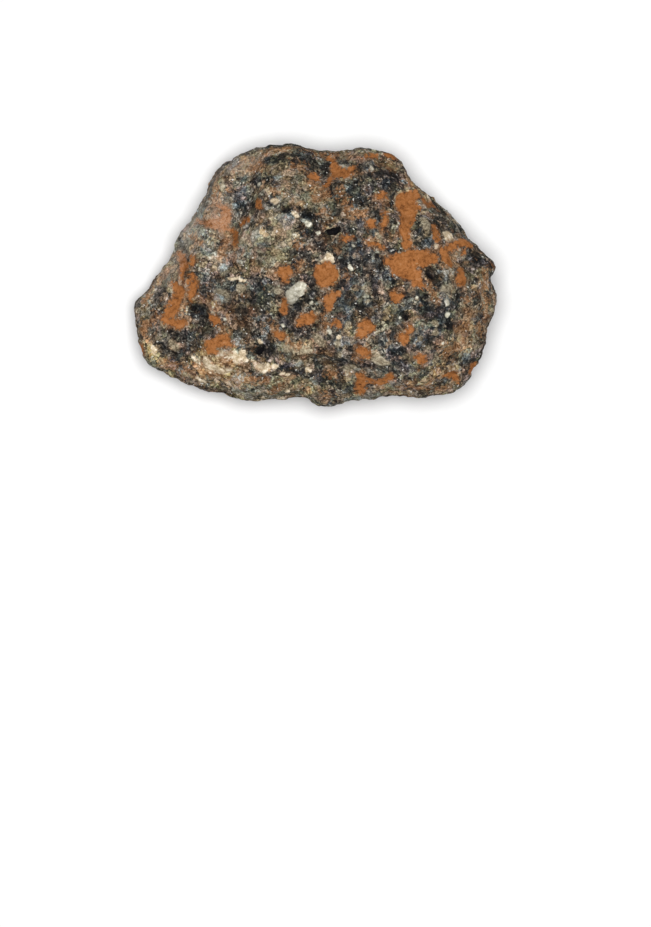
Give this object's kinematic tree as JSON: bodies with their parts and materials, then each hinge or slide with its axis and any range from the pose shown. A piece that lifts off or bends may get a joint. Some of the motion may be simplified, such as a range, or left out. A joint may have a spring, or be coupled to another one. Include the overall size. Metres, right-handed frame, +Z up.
{
  "type": "lunar meteorite",
  "caption": "Small rough lump of lunar breccia, a flattened stone specimen that lies on a small flat spot with its broad clast-studded face up.",
  "frame": {"origin": "under the middle of the stone's overall box, on the plane that it rests on", "axes": "+X along the stone's length towards its blunt end, +Y across it towards its narrower side, +Z up from the surface that it rests on"},
  "size_m": [0.0326, 0.024, 0.011],
  "materials": {
    "breccia": "matt, grainy and mottled: dark grey and tan breccia with cream clasts and rust-orange clay in its hollows"
  },
  "bodies": {
    "root": {"stone": "breccia"}
  },
  "joints": []
}
